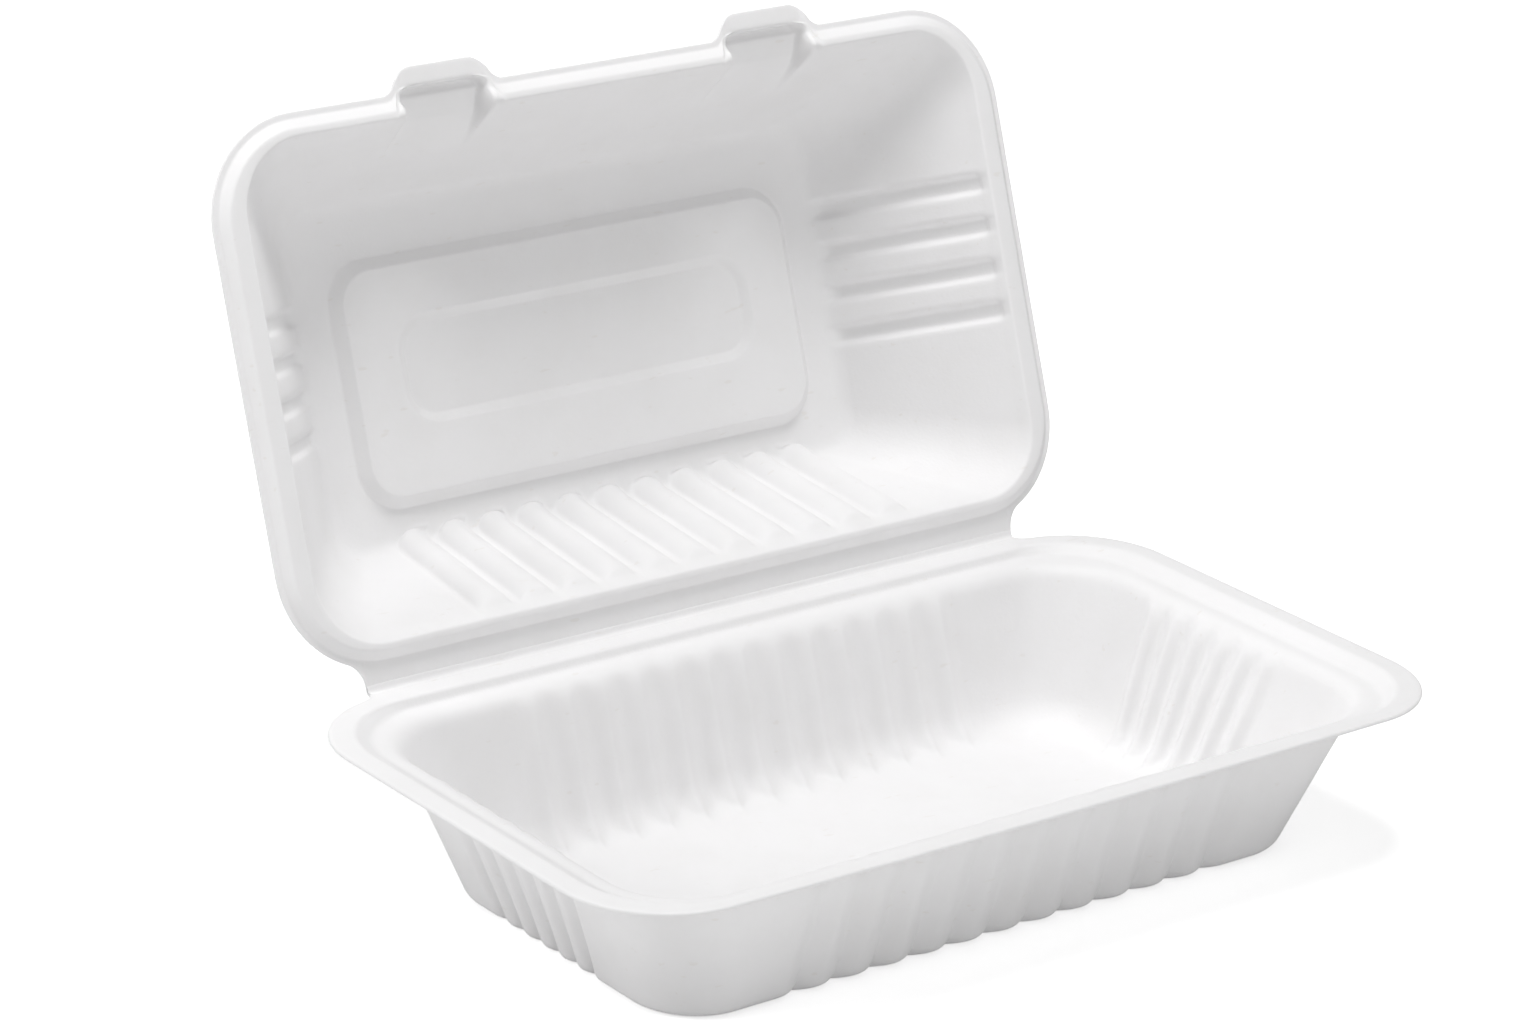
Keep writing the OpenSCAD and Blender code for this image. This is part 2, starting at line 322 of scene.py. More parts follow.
@dataclass(frozen=True)
class Section:
    """Half of a moulded section: corners as (half extent, height) with rounding."""

    corners: tuple[tuple[float, float], ...]
    rounding: tuple[float, ...]
    steps: tuple[int, ...]
    arc: int = 6

    def points(self) -> np.ndarray:
        """Samples the section.

        Returns:
            Points from the first corner to the last, always the same number.
        """
        corner = [np.array(c, float) for c in self.corners]
        out = [corner[0]]
        end = corner[0]
        for i in range(1, len(corner)):
            last = i == len(corner) - 1
            back = corner[i] - corner[i - 1]
            start = corner[i]
            if not last:
                ahead = corner[i + 1] - corner[i]
                reach = self.rounding[i - 1]
                start = corner[i] - back / np.linalg.norm(back) * reach
            for k in range(1, self.steps[i - 1] + 1):
                out.append(end + (start - end) * k / self.steps[i - 1])
            if not last:
                end = corner[i] + ahead / np.linalg.norm(ahead) * reach
                for k in range(1, self.arc + 1):
                    s = k / self.arc
                    out.append(start * (1 - s) ** 2 + corner[i] * 2 * s * (1 - s) + end * s ** 2)
        return np.array(out)


@dataclass
class Stations:
    """Places round an outline, anticlockwise from above: side, place or angle, wall shape."""

    side: list[int] = field(default_factory=list)
    place: list[float] = field(default_factory=list)
    wall: list[float] = field(default_factory=list)

    def add(self, side: Side, place: float, wall: float = 0.0) -> None:
        """Adds one station.

        Args:
            side: Side or corner it lies on.
            place: Coordinate along the side, or angle in degrees.
            wall: How far the wall moves in here, as a share of the flute depth.
        """
        self.side.append(side.value)
        self.place.append(place)
        self.wall.append(wall)

    def corner(self, side: Side, first: float, angles: list[float]) -> None:
        """Adds a corner.

        Args:
            side: Corner.
            first: Angle where it starts.
            angles: Angles from there.
        """
        for angle in angles:
            self.add(side, first + angle)

    def arrays(self) -> tuple[np.ndarray, np.ndarray, np.ndarray]:
        """The three lists as arrays."""
        return np.array(self.side), np.array(self.place), np.array(self.wall)

    def furthest(self) -> tuple[float, float]:
        """Furthest places along the long and the short sides.

        Returns:
            One distance for each pair of sides.
        """
        side, place, _ = self.arrays()
        along = np.abs(place)
        return (along[lies_on(side, Side.FRONT, Side.REAR)].max(),
                along[lies_on(side, Side.RIGHT, Side.LEFT)].max())


def squeezed(half: float, bend: float, reach: float, most: float = 1.0) -> float:
    """Factor that draws the places on a side together to fit between its corners.

    Args:
        half: Half extent of the loop along the side.
        bend: Corner radius of the loop.
        reach: Furthest place along the side.
        most: Greatest factor.

    Returns:
        The factor.
    """
    return min(most, (half - bend - CLEAR) / reach)


def outline(
    stations: Stations, half_x: float, half_y: float, radius: float, push: np.ndarray,
    squeeze: tuple[float, float],
) -> np.ndarray:
    """One loop of a rounded rectangle with fluted sides.

    Args:
        stations: Places round the loop.
        half_x: Half length.
        half_y: Half width.
        radius: Corner radius.
        push: How far the wall moves in at each station.
        squeeze: Factors that draw the places on the long and the short sides together.

    Returns:
        Points of the loop in x and y.
    """
    side, place, _ = stations.arrays()
    px, py = place * squeeze[0], place * squeeze[1]
    turn = np.radians(place)
    at_right = lies_on(side, Side.FRONT_RIGHT, Side.REAR_RIGHT)
    at_rear = lies_on(side, Side.REAR_RIGHT, Side.REAR_LEFT)
    cx = np.where(at_right, half_x - radius, radius - half_x)
    cy = np.where(at_rear, half_y - radius, radius - half_y)
    straight = [lies_on(side, one) for one in STRAIGHT]
    x = np.select(straight, [px, half_x - push, px, push - half_x], cx + radius * np.cos(turn))
    y = np.select(straight, [push - half_y, py, half_y - push, py], cy + radius * np.sin(turn))
    return np.stack([x, y], 1)


def grown(stations: Stations, push: np.ndarray, thick: float) -> np.ndarray:
    """Shape of a fluted wall's other face, one thickness further in.

    Args:
        stations: Places round the loop.
        push: How far the first face moves in at each station.
        thick: Thickness of the wall.

    Returns:
        How far the other face moves in, counted from its own plain wall.
    """
    side, place, _ = stations.arrays()
    out = push.copy()
    for one in STRAIGHT:
        on = np.where(lies_on(side, one))[0]
        gap = np.abs(place[on][:, None] - place[on][None, :])
        ball = np.sqrt(np.maximum(thick ** 2 - gap ** 2, 0.0))
        out[on] = np.where(gap < thick, push[on][None, :] + ball - thick, -FAR).max(1)
    return out


def soft_step(amount: np.ndarray | float) -> np.ndarray | float:
    """Smooth step from 0 to 1 of amounts from 0 to 1, level beyond them."""
    amount = np.clip(amount, 0.0, 1.0)
    return amount * amount * (3.0 - 2.0 * amount)


def share_of_end(stations: Stations) -> np.ndarray:
    """How much each station takes its height from the end walls' section.

    Args:
        stations: Places round the loop.

    Returns:
        Shares from 0 to 1.
    """
    side, place, _ = stations.arrays()
    straight = [lies_on(side, one) for one in STRAIGHT]
    return np.select(straight, [0.0, 1.0, 0.0, 1.0], np.cos(np.radians(place)) ** 2)


def slopes(section: np.ndarray) -> np.ndarray:
    """Unit vectors square to a section, outwards and down for one that rises outwards.

    Args:
        section: Points of the section.

    Returns:
        One vector for each point.
    """
    along = np.gradient(section, axis=0)
    along /= np.linalg.norm(along, axis=1, keepdims=True)
    return np.stack([along[:, 1], -along[:, 0]], 1)


def mesh_object(name: str, points: list, faces: list, smooth: bool = True) -> bpy.types.Object:
    """Makes a mesh object and links it to the scene.

    Args:
        name: Name of the object and of its mesh.
        points: Corners, in metres.
        faces: Corner numbers of every face.
        smooth: Whether the faces are shaded smooth.

    Returns:
        The new object.
    """
    mesh = bpy.data.meshes.new(name)
    mesh.from_pydata(points, [], faces)
    mesh.polygons.foreach_set("use_smooth", [smooth] * len(mesh.polygons))
    mesh.update()
    made = bpy.data.objects.new(name, mesh)
    bpy.context.collection.objects.link(made)
    return made


def sheet_piece(name: str, seen: np.ndarray, back: np.ndarray) -> bpy.types.Object:
    """Closes two faces of a sheet round a soft edge and makes a mesh.

    Args:
        name: Name of the piece.
        seen: Loops of one face, from the middle to the edge.
        back: The same loops of the other face.

    Returns:
        The new object, in metres.
    """
    round_way = np.roll(back[-1], -1, 0) - np.roll(back[-1], 1, 0)
    lip_out = np.stack([round_way[:, 1], -round_way[:, 0], np.zeros(len(round_way))], 1)
    lip_out /= np.linalg.norm(lip_out, axis=1, keepdims=True)
    middle = (seen[-1] + back[-1]) / 2
    half = (seen[-1] - back[-1]) / 2
    thick = np.linalg.norm(half, axis=1, keepdims=True)
    edge = [middle + half * math.cos(a) + lip_out * thick * math.sin(a)
            for a in np.radians(EDGE_ANGLES)]
    loops = np.concatenate([seen, np.array(edge), back[::-1]], 0)
    count, around = loops.shape[:2]
    points = np.concatenate([loops.reshape(-1, 3), seen[0].mean(0)[None], back[0].mean(0)[None]], 0) * MM
    faces = []
    for k in range(count - 1):
        a = k * around + np.arange(around)
        b = k * around + (np.arange(around) + 1) % around
        faces.append(np.stack([a, b, b + around, a + around], 1))
    quads = np.concatenate(faces, 0).tolist()
    first, last = count * around, count * around + 1
    cap = [[first, (i + 1) % around, i] for i in range(around)]
    base = (count - 1) * around
    cap += [[last, base + i, base + (i + 1) % around] for i in range(around)]
    return mesh_object(name, points.tolist(), quads + cap)


@dataclass
class Strip:
    """The fold that tray and lid share, and how their rear edges run out to it."""

    line: tuple[float, float] = (66.45, 37.5)
    open_angle: float = 109.9
    gap: float = 0.3
    half: float = 91.5
    tray_reach: float = 2.15
    lid_reach: float = 4.85
    tray_round: float = 4.0
    lid_round: float = 3.6

    def rise(self, stations: Stations, x: np.ndarray, reach: float, radius: float) -> np.ndarray:
        """How far an edge runs out to the strip at each station.

        Args:
            stations: Stations round the edge.
            x: Their places along the x axis.
            reach: Full reach of the strip.
            radius: Rounding of the inner corner at the strip's end.

        Returns:
            The reach at each station, 0 away from the rear edge.
        """
        rear = lies_on(stations.arrays()[0], Side.REAR, Side.REAR_RIGHT, Side.REAR_LEFT)
        past = np.abs(x) - self.half
        inner = np.clip(radius - past, 0.0, radius)
        curve = reach * (1.0 - np.sqrt(np.maximum(1.0 - (inner / radius) ** 2, 0.0)))
        return np.where(rear, np.where(past <= 0.02, reach, np.where(past < radius, curve, 0.0)), 0.0)

    def corner_angles(self, centre: float, radius: float, fillet: float) -> list[float]:
        """Angles for a rear corner that carries the strip's end.

        Args:
            centre: x of the corner's centre.
            radius: Corner radius of the edge.
            fillet: Rounding at the strip's end.

        Returns:
            Angles from 0 to 90 degrees, close together where the edge turns.
        """
        spots = [self.half + fillet * (1 - math.cos(math.radians(a))) for a in range(90, -1, -10)]
        near = [math.degrees(math.acos((s - centre) / radius)) for s in spots]
        near += [math.degrees(math.acos((self.half - 0.25 - centre) / radius))]
        far = np.linspace(0.0, near[0], 16)[:-1].tolist()
        return far + near + [(near[-1] + 90) / 2, 90.0]


@dataclass
class Tray:
    """The fluted tray with its flange, the step that takes the lid, and its foot."""

    length: float = 230.0
    width: float = 128.6
    height: float = 37.5
    thick: float = 1.0
    corner: float = 25.0
    foot: tuple[float, float, float] = (176.5, 88.0, 16.0)
    flange: tuple[float, float] = (5.4, 4.3)
    drop: float = 2.2
    slope: tuple[float, float] = (3.9, 1.0)
    ledge: float = 4.3
    bow: float = 0.75
    depth: float = 2.1
    cove: float = 7.2
    cove_under: float = 1.9
    front: tuple[int, float, float] = (12, 10.4, 1.2)
    rear: tuple[int, float, float] = (13, 9.6, 0.0)
    ends: tuple[int, float, float] = (6, 8.4, 3.7)
    # half length and corner radius of a loop halfway up the wall
    waist: tuple[float, float] = (101.0, 19.0)
    # exponent of the soft wave, then where it starts and over what height, inside and outside
    wave: float = 1.9
    wave_inside: tuple[float, float] = (0.5, 3.5)
    wave_outside: tuple[float, float] = (2.0, 9.0)
    # factors on the depth inside: on the front and the ends, and on the rear by height
    bold: float = 1.25
    rear_heights: tuple[float, ...] = (1.0, 3.0, 6.0, 14.0)
    rear_bold: tuple[float, ...] = (1.15, 1.3, 1.0, 0.75)
    strip: Strip = field(default_factory=Strip)

    # places in one flute, as shares of the pitch, closer together at its valley
    FLUTE = (-0.5, -0.42, -0.33, -0.24, -0.16, -0.1, -0.055, -0.025,
             0.0, 0.025, 0.055, 0.1, 0.16, 0.24, 0.33, 0.42)
    # shares of the strip's reach and of the front's bow, from the edge's loop inwards
    DRAWN = (1.0, 0.62, 0.3, 0.08)
    BOWED = (1.0, 0.8, 0.6, 0.4, 0.2)

    def valley(self, share: float) -> float:
        """Depth of a flute's section, 1 in the valley and 0 on the crown.

        Args:
            share: Place from -0.5 to 0.5 of the pitch, 0 in the valley.

        Returns:
            The depth there.
        """
        soft = math.sqrt(share * share + 0.022 ** 2) - 0.022
        return 1.0 - min(1.0, math.sin(math.pi * min(0.5, soft))) ** 0.72

    def run(
        self, stations: Stations, side: Side, row: tuple[int, float, float], way: int, plain: float
    ) -> None:
        """Adds a fluted side.

        Args:
            stations: Stations so far.
            side: Side to add.
            row: Number of valleys, pitch and shift.
            way: 1 if the side runs along its axis, -1 if against it.
            plain: Where the plain wall at each end of the row stops.
        """
        count, pitch, shift = row
        places = [((i - (count - 1) / 2) + s) * pitch for i in range(count) for s in self.FLUTE]
        walls = [self.valley(s) for _ in range(count) for s in self.FLUTE]
        places.append(count * pitch / 2)
        walls.append(0.0)
        ends = [-count * pitch / 2 - d for d in (7.0, 3.5)], [count * pitch / 2 + d for d in (3.5, 7.0)]
        full = [(p, 0.0) for p in ends[0]] + list(zip(places, walls)) + [(p, 0.0) for p in ends[1]]
        spots = [(p + shift, w) for p, w in full if abs(p + shift) < plain]
        for place, wall in (spots if way > 0 else spots[::-1]):
            stations.add(side, place, wall)

    def stations(self) -> Stations:
        """Stations round the tray.

        Returns:
            The stations, anticlockwise.
        """
        out = Stations()
        plain_x = self.length / 2 - self.corner
        plain_y = self.width / 2 - self.corner
        fine = np.linspace(0.0, 90.0, 19).tolist()
        notch = self.strip.corner_angles(plain_x, self.corner, self.strip.tray_round)
        self.run(out, Side.FRONT, self.front, 1, plain_x)
        out.corner(Side.FRONT_RIGHT, -90.0, fine)
        self.run(out, Side.RIGHT, self.ends, 1, plain_y)
        out.corner(Side.REAR_RIGHT, 0.0, notch)
        self.run(out, Side.REAR, self.rear, -1, plain_x)
        out.corner(Side.REAR_LEFT, 90.0, [90.0 - a for a in notch[::-1]])
        self.run(out, Side.LEFT, self.ends, -1, plain_y)
        out.corner(Side.FRONT_LEFT, 180.0, fine)
        return out

    def sections(self, cove: float) -> tuple[np.ndarray, np.ndarray]:
        """Section of the end walls and of the long walls.

        Args:
            cove: Rounding between the floor and the wall.

        Returns:
            Both sections, with the same number of points.
        """
        found = []
        for half, foot, flange, slope in (
            (self.length / 2, self.foot[0] / 2 - self.thick, self.flange[0], self.slope[0]),
            (self.width / 2, self.foot[1] / 2 - self.thick, self.flange[1], self.slope[1]),
        ):
            ledge = half - flange - slope
            low = self.height - self.drop
            found.append(Section(
                (
                    (foot - 14.0, self.thick),
                    (foot, self.thick),
                    (ledge - self.ledge - 0.9, low - 0.25),
                    (ledge - 0.1, low),
                    (half - flange, self.height),
                    (half - self.thick / 2, self.height),
                ),
                (cove, 3.2, 0.9, 0.8),
                (6, 16, 2, 2, 5),
                8,
            ).points())
        return found[0], found[1]

    def build(self) -> bpy.types.Object:
        """Builds the tray.

        Returns:
            The tray's piece.
        """
        stations = self.stations()
        inside = self.face(0.0, self.cove, stations)
        return sheet_piece("tray_fibre", inside, self.face(self.thick, self.cove_under, stations))

    def face(self, thick: float, cove: float, stations: Stations) -> np.ndarray:
        """Loops of one face of the sheet.

        Args:
            thick: How far the face lies below the inside.
            cove: Rounding between the floor and the wall.
            stations: Places round the tray.

        Returns:
            The loops from the floor to the flange.
        """
        inside = thick == 0.0
        side, _, wall = stations.arrays()
        share, reach = share_of_end(stations), stations.furthest()
        end, long = self.sections(cove)
        square = slopes(end), slopes(long)
        foot = self.foot[0] / 2
        radius = np.interp(end[:, 0], [foot - 16, foot - 1, self.waist[0], self.length / 2],
                           [4.0, self.foot[2] - 1, self.waist[1], self.corner - self.thick / 2])
        loops = []
        for k in range(len(end)):
            out_x, down_x = square[0][k] * thick
            out_y, down_y = square[1][k] * thick
            half_x, half_y, bend = end[k, 0] + out_x, long[k, 0] + out_y, radius[k] + out_x
            squeeze = squeezed(half_x, bend, reach[0]), squeezed(half_y, bend, reach[1])
            push = self.flute(wall, end[k, 1], inside) * self.depth_at(end[k], cove)
            if inside:
                rear_bold = np.interp(end[k, 1], self.rear_heights, self.rear_bold)
                push = push * np.where(lies_on(side, Side.REAR), rear_bold, self.bold)
                push = grown(stations, push, self.thick * 0.6)
            loop = outline(stations, half_x, half_y, bend, push, squeeze)
            height = share * (end[k, 1] + down_x) + (1 - share) * (long[k, 1] + down_y)
            loops.append(np.concatenate([loop, height[:, None]], 1))
        grid = np.array(loops)
        self.run_out(grid, stations)
        return grid

    def flute(self, wall: np.ndarray, height: float, inside: bool) -> np.ndarray:
        """Section of the flutes at a height: notched at the foot, softly waved above it.

        Args:
            wall: Notched section at each station.
            height: Height of the loop.
            inside: Whether it is the inside, where the wave starts lower.

        Returns:
            The section at that height.
        """
        wave = 1.0 - (1.0 - wall) ** self.wave
        low, span = self.wave_inside if inside else self.wave_outside
        share = soft_step((height - low) / span)
        return wall * (1.0 - share) + wave * share

    def depth_at(self, point: np.ndarray, cove: float) -> float:
        """Flute depth of a loop.

        Args:
            point: The loop's point on the end walls' section.
            cove: Rounding between the floor and the wall.

        Returns:
            Depth in millimetres.
        """
        low, deep = self.height - self.drop, self.depth
        wall = float(np.interp(point[1], [1.0, 6.0, 20.0, low - 3.5, low - 1.2, low - 0.4],
                               [deep * 1.1, deep, deep * 0.85, deep * 0.6, 0.35, 0.0]))
        foot = self.foot[0] / 2 - self.thick
        floor = float(np.interp(point[0], [foot - cove - 3.0, foot - cove, foot - cove * 0.4, foot + 0.2],
                                [0.0, deep * 0.35, deep * 0.8, deep * 1.1]))
        return min(wall, floor)

    def run_out(self, grid: np.ndarray, stations: Stations) -> None:
        """Bows the front edge and draws the rear edge out to the fold.

        Args:
            grid: Loops of one face, changed in place.
            stations: Stations of the loops.
        """
        side, _, _ = stations.arrays()
        x = grid[-1, :, 0]
        reach = self.strip.tray_reach - self.thick / 2 + 0.45
        out = self.strip.rise(stations, x, reach, self.strip.tray_round)
        for loop, part in enumerate(self.DRAWN, 1):
            grid[-loop, :, 1] += out * part
        straight = self.length / 2 - self.corner
        curve = self.bow * (1 - np.minimum(1.0, np.abs(x) / straight) ** 2)
        bow = np.where(lies_on(side, Side.FRONT), curve, 0.0)
        for loop, part in enumerate(self.BOWED, 1):
            grid[-loop, :, 1] -= bow * part


@dataclass
class Lid:
    """The lid with its bead, lobes, grooves, raised panel and two closing tabs."""

    length: float = 218.7
    width: float = 122.8
    height: float = 33.2
    thick: float = 0.6
    corner: float = 24.0
    bead: float = 2.2
    # how far in from the edge the bead's crest, its inner foot and the wall's foot lie
    end_rim: tuple[float, float, float] = (3.5, 7.9, 9.7)
    long_rim: tuple[float, float, float] = (3.7, 5.3, 7.2)
    lip: float = 1.5
    flat: tuple[float, float, float] = (147.0, 78.0, 9.5)
    depth: float = 2.4
    lobes: tuple[int, float, float] = (11, 11.3, 1.7)
    # number, pitch on the right and on the left end, shift
    grooves: tuple[int, float, float, float] = (4, 10.2, 9.2, 2.6)
    # depth on the right and on the left end, as shares
    groove_share: tuple[float, float] = (0.75, 0.5)
    groove_end: float = 25.5
    panel: tuple[float, float, float, float] = (123.6, 52.0, 8.0, 2.8)
    panel_shift: float = 2.2
    sunk: tuple[float, float, float, float] = (99.4, 25.2, 9.0, 1.4)
    sunk_shift: float = 0.6
    sunk_slope: float = 2.2
    panel_slope: float = 2.7
    tab_x: float = 45.0
    tab_reach: float = 5.7
    channel: float = 11.2
    strip: Strip = field(default_factory=Strip)

    # places in one lobe, as shares of the pitch, closer together at its edges
    LOBE = (0.0, 0.03, 0.07, 0.12, 0.18, 0.26, 0.35, 0.5, 0.65, 0.74, 0.82, 0.88, 0.93, 0.97)
    # flat part at a lobe's edge, span of its curve and the curve's exponent
    LOBE_CURVE = (0.1, 0.8, 0.7)
    # places in one groove, as shares of the pitch, closer together at its sides
    GROOVE = (-0.5, -0.38, -0.29, -0.24, -0.2, -0.16, -0.12, -0.06,
              0.0, 0.06, 0.12, 0.16, 0.2, 0.24, 0.29, 0.38)
    # half width of a groove and width of its side
    GROOVE_SIDE = (0.29, 0.19)
    # places from a tab's middle to its left, and the plain places between the tabs
    TAB = (-19.0, -17.2, -16.2, -15.6, -15.0, -14.2, -13.2, -12.6, -12.0, -11.5, -11.0, -10.5, -10.0,
           -9.4, -8.6, -7.4, -5.6, -3.0)
    BETWEEN = (-20.0, -12.0, -4.0, 4.0, 12.0, 20.0)
    # course of a channel from the wall to the tab's tip: share, how far in, how high
    COURSE = (0.0, 0.20, 0.30, 0.38, 0.48, 0.56, 0.66, 0.70, 0.75, 0.80, 1.0)
    COURSE_IN = (8.2, 6.2, 4.6, 2.6, 1.1, -0.9, -1.1, -1.3, -1.5)
    COURSE_UP = (7.2, 5.2, 4.3, 3.4, 2.5, 3.3, 3.2, 0.8, 0.45, 0.3)
    # outline of a tab: distance from its middle and share of its reach
    WING_OFF = (7.6, 8.8, 9.8, 10.8, 11.8, 12.8, 13.8, 14.8, 15.6)
    WING = (1.0, 0.975, 0.90, 0.77, 0.58, 0.36, 0.17, 0.05, 0.0)

    def lobe(self, share: float) -> float:
        """Height of a lobe's section, 0 at its edges and 1 at its top.

        Args:
            share: Place from 0 to 1 of the pitch.

        Returns:
            The height there.
        """
        flat, span, power = self.LOBE_CURVE
        edge = min(share, 1.0 - share)
        if edge < flat:
            return 0.0
        return math.sin(math.pi * min(0.5, (edge - flat) / span)) ** power

    def groove(self, share: float) -> float:
        """Depth of a groove's section, 1 at its floor and 0 on the plain wall."""
        half, slant = self.GROOVE_SIDE
        return float(soft_step((half - abs(share)) / slant))

    def stations(self) -> Stations:
        """Stations round the lid.

        Returns:
            The stations, anticlockwise.
        """
        out = Stations()
        fine = np.linspace(0.0, 90.0, 19).tolist()
        notch = self.strip.corner_angles(self.length / 2 - self.corner, self.corner, self.strip.lid_round)
        for place in self.front_places():
            out.add(Side.FRONT, place)
        out.corner(Side.FRONT_RIGHT, -90.0, fine)
        for place, wall in self.groove_places(self.grooves[1]):
            out.add(Side.RIGHT, place, wall * self.groove_share[0])
        out.corner(Side.REAR_RIGHT, 0.0, notch)
        count, pitch, shift = self.lobes
        row = [((i + s) * pitch - count * pitch / 2 + shift, self.lobe(s))
               for i in range(count) for s in self.LOBE]
        row.append((count * pitch / 2 + shift, 0.0))
        row = [(row[0][0] - 1.5, 0.0)] + row + [(row[-1][0] + 1.5, 0.0)]
        for place, wall in row[::-1]:
            out.add(Side.REAR, place, wall)
        out.corner(Side.REAR_LEFT, 90.0, [90.0 - a for a in notch[::-1]])
        for place, wall in self.groove_places(self.grooves[2])[::-1]:
            out.add(Side.LEFT, place, wall * self.groove_share[1])
        out.corner(Side.FRONT_LEFT, 180.0, fine)
        return out

    def front_places(self) -> list[float]:
        """Places along the front edge, close together at the tabs."""
        tab = [*self.TAB, 0.0, *(-t for t in self.TAB[::-1])]
        return [*(t - self.tab_x for t in tab), *self.BETWEEN, *(t + self.tab_x for t in tab)]

    def groove_places(self, pitch: float) -> list[tuple[float, float]]:
        """Places and wall shape of one end wall.

        Args:
            pitch: Distance between the grooves.

        Returns:
            One pair of place and wall shape for each station.
        """
        count = self.grooves[0]
        row = [((i - (count - 1) / 2 + s) * pitch, -self.groove(s))
               for i in range(count) for s in self.GROOVE]
        row.append((count * pitch / 2, 0.0))
        inner = [(place - self.grooves[3], wall) for place, wall in row]
        return [(-self.groove_end, 0.0)] + inner + [(self.groove_end, 0.0)]

    def sections(self) -> tuple[np.ndarray, np.ndarray]:
        """Inside of the end walls' and the long walls' section, heights above the lip.

        Returns:
            Both sections, with the same number of points.
        """
        top = self.height
        low = top - self.panel[3]
        found = []
        for axis, half, rim in ((0, self.length / 2, self.end_rim), (1, self.width / 2, self.long_rim)):
            sunk = self.sunk[axis] / 2
            panel = self.panel[axis] / 2
            flat = self.flat[axis] / 2
            found.append(Section(
                (
                    (sunk - self.sunk_slope - 1.8, low + self.sunk[3]),
                    (sunk - self.sunk_slope, low + self.sunk[3]),
                    (sunk, low),
                    (panel, low),
                    (panel + self.panel_slope, top),
                    (flat + 0.2, top),
                    (half - rim[2], 0.6),
                    (half - rim[1], -self.bead),
                    (half - rim[0], -self.bead + 0.1),
                    (half - self.lip, 0.0),
                    (half - self.thick / 2, 0.0),
                ),
                (0.35, 0.35, 0.4, 0.4, 2.6, 0.9, 0.5, 0.5, 0.4),
                (1, 1, 4, 1, 3, 14, 1, 2, 1, 2),
                4,
            ).points())
        return found[0], found[1]

    def radii(self, end: np.ndarray) -> np.ndarray:
        """Corner radius of every loop.

        Args:
            end: Section of the end walls.

        Returns:
            One radius for each loop.
        """
        sunk, panel, flat = self.sunk[0] / 2, self.panel[0] / 2, self.flat[0] / 2
        slope, edge = self.sunk_slope, self.length / 2
        crest, foot, wall = self.end_rim
        return np.interp(
            end[:, 0],
            [sunk - slope - 1.8, sunk - slope, sunk, panel, panel + self.panel_slope, flat,
             edge - wall, edge - foot, edge - crest, edge - self.lip, edge],
            [self.sunk[2] - slope - 1.8, self.sunk[2] - slope, self.sunk[2], self.panel[2],
             self.panel[2] + self.panel_slope, self.flat[2], 15.0, 16.5, 20.5, 22.5, self.corner],
        )

    def shift_to_fold(self, end: np.ndarray) -> np.ndarray:
        """How far every loop's middle sits towards the fold.

        Args:
            end: Section of the end walls.

        Returns:
            One distance for each loop.
        """
        sunk, panel, flat = self.sunk[0] / 2, self.panel[0] / 2, self.flat[0] / 2
        return np.interp(end[:, 0], [sunk, panel - 1.0, panel + self.panel_slope, flat - 2.0],
                         [self.sunk_shift, self.panel_shift, self.panel_shift, 0.0])

    def depth_at(self, section: np.ndarray) -> np.ndarray:
        """Lobe and groove depth of every loop.

        Args:
            section: Section of the end walls.

        Returns:
            One depth for each loop.
        """
        top, flat, edge = self.height, self.flat[0] / 2, self.length / 2
        wall = np.interp(section[:, 1], [-1.8, 0.0, 1.0, 4.0, top * 0.5, top - 4.0, top - 1.0],
                         [0.0, 0.3, 0.8, 1.05, 1.1, 1.2, 1.25]) * self.depth
        return wall * np.interp(
            section[:, 0],
            [flat - 2.3, flat - 2.2, flat - 1.0, flat + 0.3, edge - 8.9, edge - 8.0],
            [0.0, 0.3, 0.75, 1.05, 1.0, 0.0],
        )

    def build(self) -> bpy.types.Object:
        """Builds the lid in its closed place and turns it open.

        Returns:
            The lid's piece.
        """
        stations = self.stations()
        _, _, wall = stations.arrays()
        end, long = self.sections()
        share, reach = share_of_end(stations), stations.furthest()
        radius, shift, depth = self.radii(end), self.shift_to_fold(end), self.depth_at(end)
        square = -slopes(end), -slopes(long)
        # the row of lobes is drawn together towards the flat, where the side is shorter
        tight = (self.flat[0] / 2 - self.flat[2] - 0.5) / reach[0]
        faces = []
        for thick in (0.0, self.thick):
            loops = []
            for k in range(len(end)):
                out_x, up_x = square[0][k] * thick
                out_y, up_y = square[1][k] * thick
                half_x, half_y = end[k, 0] + out_x, long[k, 0] + out_y
                bend = max(radius[k] + out_x, 0.8)
                fan = 1.0 - (1.0 - tight) * float(np.clip(end[k, 1] / self.height, 0.0, 1.0))
                squeeze = squeezed(half_x, bend, reach[0], fan), squeezed(half_y, bend, reach[1])
                push = wall * depth[k]
                if thick > 0.0:
                    push = -grown(stations, -push, self.thick)
                loop = outline(stations, half_x, half_y, bend, push, squeeze)
                loop[:, 1] += shift[k]
                height = share * (end[k, 1] + up_x) + (1 - share) * (long[k, 1] + up_y)
                loops.append(np.concatenate([loop, height[:, None]], 1))
            grid = np.array(loops)
            self.shape_tabs(grid, stations, long, thick)
            self.run_out(grid, stations)
            faces.append(grid)
        piece = sheet_piece("lid_fibre", faces[1], faces[0])
        piece.data.transform(self.opened())
        return piece

    def opened(self) -> Matrix:
        """Matrix from the lid's closed place, centred, to where it stands open.

        Returns:
            The matrix, in metres.
        """
        strip = self.strip
        middle = strip.lid_reach + self.width / 2
        close = Matrix.Translation((0.0, -middle * MM, strip.gap * MM))
        turn = Matrix.Rotation(math.radians(-strip.open_angle), 4, "X")
        return Matrix.Translation((0.0, strip.line[0] * MM, strip.line[1] * MM)) @ turn @ close

